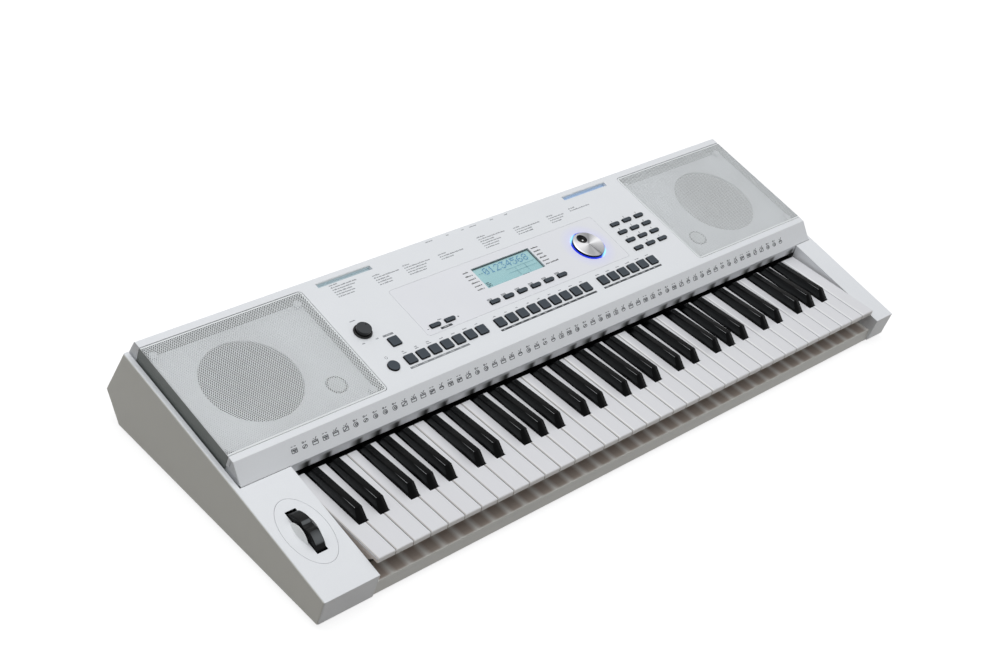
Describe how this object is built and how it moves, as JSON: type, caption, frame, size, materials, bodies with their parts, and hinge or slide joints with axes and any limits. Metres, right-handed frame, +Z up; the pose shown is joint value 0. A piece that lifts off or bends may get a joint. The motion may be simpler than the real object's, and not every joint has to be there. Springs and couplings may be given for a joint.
{
  "type": "arranger keyboard",
  "caption": "White arranger keyboard with sprung keys, pitch wheel, push buttons, data dial, volume knob, display, loudspeaker grilles, music rest slots and rear sockets.",
  "frame": {"origin": "middle of the bounding box's underside, on the surface that the feet stand on", "axes": "+X to the player's right, +Y to the back of the instrument, +Z up"},
  "size_m": [0.9574, 0.3762, 0.1193],
  "materials": {
    "case_white": "pearl white moulding, satin gloss",
    "cheek_white": "pearl white moulding, satin gloss",
    "base_grey": "light grey moulding, satin gloss",
    "grille_metal": "silver grey perforated sheet",
    "speaker_metal": "black enamel",
    "speaker_paper": "black paper cone",
    "tweeter_black": "black moulding",
    "panel_print": "printed film, satin",
    "display_cell": "teal display cell",
    "display_window": "clear window",
    "ring_light": "blue lit diffuser",
    "control_metal": "plated",
    "circuit_board": "green solder mask",
    "grey_rubber": "moulded silicone rubber",
    "socket_black": "black moulding",
    "socket_steel": "plated shell",
    "frame_black": "black moulding",
    "felt_red": "felt strip",
    "screw_steel": "plated",
    "foot_rubber": "black rubber",
    "key_white": "white, semi gloss",
    "key_black": "black, semi gloss",
    "button_grey": "slate grey, matt",
    "wheel_black": "black, satin",
    "knob_grey": "dark grey, satin",
    "dial_silver": "spun metal cap"
  },
  "bodies": {
    "case": {"lower_case": "base_grey", "upper_case": "case_white", "left_end_cheek": "cheek_white", "right_end_cheek": "cheek_white", "left_grille": "grille_metal", "right_grille": "grille_metal", "left_speaker_frame": "speaker_metal", "right_speaker_frame": "speaker_metal", "left_speaker_cone": "speaker_paper", "right_speaker_cone": "speaker_paper", "left_tweeter": "tweeter_black", "right_tweeter": "tweeter_black", "display_panel": "panel_print", "lcd_module": "display_cell", "lcd_window": "display_window", "dial_light_ring": "ring_light", "dial_encoder": "control_metal", "volume_control": "control_metal", "panel_board": "circuit_board", "button_mat": "grey_rubber", "main_board": "circuit_board", "jack_board": "circuit_board", "usb_socket": "socket_steel", "pedal_jack": "socket_black", "audio_jacks": "socket_black", "power_socket": "socket_black", "key_frame": "frame_black", "key_felt": "felt_red", "key_contact_board": "circuit_board", "contact_rubbers": "grey_rubber", "frame_screws": "screw_steel", "wheel_plate": "cheek_white", "wheel_bracket": "frame_black", "wheel_potentiometer": "control_metal", "rubber_feet": "foot_rubber"},
    "c_keys": {"c_keys": "key_white"},
    "d_keys": {"d_keys": "key_white"},
    "e_keys": {"e_keys": "key_white"},
    "f_keys": {"f_keys": "key_white"},
    "g_keys": {"g_keys": "key_white"},
    "a_keys": {"a_keys": "key_white"},
    "b_keys": {"b_keys": "key_white"},
    "top_c_key": {"top_c_key": "key_white"},
    "c_sharp_keys": {"c_sharp_keys": "key_black"},
    "d_sharp_keys": {"d_sharp_keys": "key_black"},
    "f_sharp_keys": {"f_sharp_keys": "key_black"},
    "g_sharp_keys": {"g_sharp_keys": "key_black"},
    "a_sharp_keys": {"a_sharp_keys": "key_black"},
    "left_row_buttons": {"left_row_buttons": "button_grey"},
    "middle_row_buttons": {"middle_row_buttons": "button_grey"},
    "right_row_buttons": {"right_row_buttons": "button_grey"},
    "single_button": {"single_button": "button_grey"},
    "tempo_buttons": {"tempo_buttons": "button_grey"},
    "display_buttons": {"display_buttons": "button_grey"},
    "keypad_buttons": {"keypad_buttons": "button_grey"},
    "power_button": {"power_button": "button_grey"},
    "pitch_wheel": {"pitch_wheel": "wheel_black"},
    "volume_knob": {"volume_knob": "knob_grey"},
    "data_dial": {"data_dial": "dial_silver"}
  },
  "joints": [
    {"name": "c_keys_press", "type": "hinge", "parent": "case", "child": "c_keys", "pos_m": [0, 0.0117, 0.043], "axis": [1, 0, 0], "range_deg": [0, 3], "stiffness_Nm_per_rad": 2.5, "springref_deg": -5.73},
    {"name": "d_keys_press", "type": "hinge", "parent": "case", "child": "d_keys", "pos_m": [0, 0.0117, 0.043], "axis": [1, 0, 0], "range_deg": [0, 3], "stiffness_Nm_per_rad": 2.5, "springref_deg": -5.73},
    {"name": "e_keys_press", "type": "hinge", "parent": "case", "child": "e_keys", "pos_m": [0, 0.0117, 0.043], "axis": [1, 0, 0], "range_deg": [0, 3], "stiffness_Nm_per_rad": 2.5, "springref_deg": -5.73},
    {"name": "f_keys_press", "type": "hinge", "parent": "case", "child": "f_keys", "pos_m": [0, 0.0117, 0.043], "axis": [1, 0, 0], "range_deg": [0, 3], "stiffness_Nm_per_rad": 2.5, "springref_deg": -5.73},
    {"name": "g_keys_press", "type": "hinge", "parent": "case", "child": "g_keys", "pos_m": [0, 0.0117, 0.043], "axis": [1, 0, 0], "range_deg": [0, 3], "stiffness_Nm_per_rad": 2.5, "springref_deg": -5.73},
    {"name": "a_keys_press", "type": "hinge", "parent": "case", "child": "a_keys", "pos_m": [0, 0.0117, 0.043], "axis": [1, 0, 0], "range_deg": [0, 3], "stiffness_Nm_per_rad": 2.5, "springref_deg": -5.73},
    {"name": "b_keys_press", "type": "hinge", "parent": "case", "child": "b_keys", "pos_m": [0, 0.0117, 0.043], "axis": [1, 0, 0], "range_deg": [0, 3], "stiffness_Nm_per_rad": 2.5, "springref_deg": -5.73},
    {"name": "top_c_key_press", "type": "hinge", "parent": "case", "child": "top_c_key", "pos_m": [0, 0.0117, 0.043], "axis": [1, 0, 0], "range_deg": [0, 3], "stiffness_Nm_per_rad": 0.5, "springref_deg": -5.73},
    {"name": "c_sharp_keys_press", "type": "hinge", "parent": "case", "child": "c_sharp_keys", "pos_m": [0, 0.0117, 0.043], "axis": [1, 0, 0], "range_deg": [0, 3], "stiffness_Nm_per_rad": 2.5, "springref_deg": -5.73},
    {"name": "d_sharp_keys_press", "type": "hinge", "parent": "case", "child": "d_sharp_keys", "pos_m": [0, 0.0117, 0.043], "axis": [1, 0, 0], "range_deg": [0, 3], "stiffness_Nm_per_rad": 2.5, "springref_deg": -5.73},
    {"name": "f_sharp_keys_press", "type": "hinge", "parent": "case", "child": "f_sharp_keys", "pos_m": [0, 0.0117, 0.043], "axis": [1, 0, 0], "range_deg": [0, 3], "stiffness_Nm_per_rad": 2.5, "springref_deg": -5.73},
    {"name": "g_sharp_keys_press", "type": "hinge", "parent": "case", "child": "g_sharp_keys", "pos_m": [0, 0.0117, 0.043], "axis": [1, 0, 0], "range_deg": [0, 3], "stiffness_Nm_per_rad": 2.5, "springref_deg": -5.73},
    {"name": "a_sharp_keys_press", "type": "hinge", "parent": "case", "child": "a_sharp_keys", "pos_m": [0, 0.0117, 0.043], "axis": [1, 0, 0], "range_deg": [0, 3], "stiffness_Nm_per_rad": 2.5, "springref_deg": -5.73},
    {"name": "left_row_buttons_press", "type": "slide", "parent": "case", "child": "left_row_buttons", "axis": [0, 0.1697, -0.9855], "range_m": [0, 0.0012], "stiffness_N_per_m": 400, "springref_m": -0.0008},
    {"name": "middle_row_buttons_press", "type": "slide", "parent": "case", "child": "middle_row_buttons", "axis": [0, 0.1697, -0.9855], "range_m": [0, 0.0012], "stiffness_N_per_m": 400, "springref_m": -0.0008},
    {"name": "right_row_buttons_press", "type": "slide", "parent": "case", "child": "right_row_buttons", "axis": [0, 0.1697, -0.9855], "range_m": [0, 0.0012], "stiffness_N_per_m": 400, "springref_m": -0.0008},
    {"name": "single_button_press", "type": "slide", "parent": "case", "child": "single_button", "axis": [0, 0.1697, -0.9855], "range_m": [0, 0.0012], "stiffness_N_per_m": 400, "springref_m": -0.0008},
    {"name": "tempo_buttons_press", "type": "slide", "parent": "case", "child": "tempo_buttons", "axis": [0, 0.1697, -0.9855], "range_m": [0, 0.0012], "stiffness_N_per_m": 400, "springref_m": -0.0008},
    {"name": "display_buttons_press", "type": "slide", "parent": "case", "child": "display_buttons", "axis": [0, 0.1697, -0.9855], "range_m": [0, 0.0012], "stiffness_N_per_m": 400, "springref_m": -0.0008},
    {"name": "keypad_buttons_press", "type": "slide", "parent": "case", "child": "keypad_buttons", "axis": [0, 0.1697, -0.9855], "range_m": [0, 0.0012], "stiffness_N_per_m": 400, "springref_m": -0.0008},
    {"name": "power_button_press", "type": "slide", "parent": "case", "child": "power_button", "axis": [0, 0.1697, -0.9855], "range_m": [0, 0.0012], "stiffness_N_per_m": 400, "springref_m": -0.0008},
    {"name": "pitch_wheel_turn", "type": "hinge", "parent": "case", "child": "pitch_wheel", "pos_m": [-0.44295, -0.1082, 0.03814], "axis": [1, 0, 0], "range_deg": [-40, 40], "stiffness_Nm_per_rad": 0.05},
    {"name": "volume_turn", "type": "hinge", "parent": "case", "child": "volume_knob", "pos_m": [-0.234, 0.06561, 0.10416], "axis": [0, -0.1697, 0.9855], "range_deg": [-150, 150]},
    {"name": "data_dial_turn", "type": "hinge", "parent": "case", "child": "data_dial", "pos_m": [0.1289, 0.06433, 0.10394], "axis": [0, -0.1697, 0.9855], "continuous": true}
  ]
}
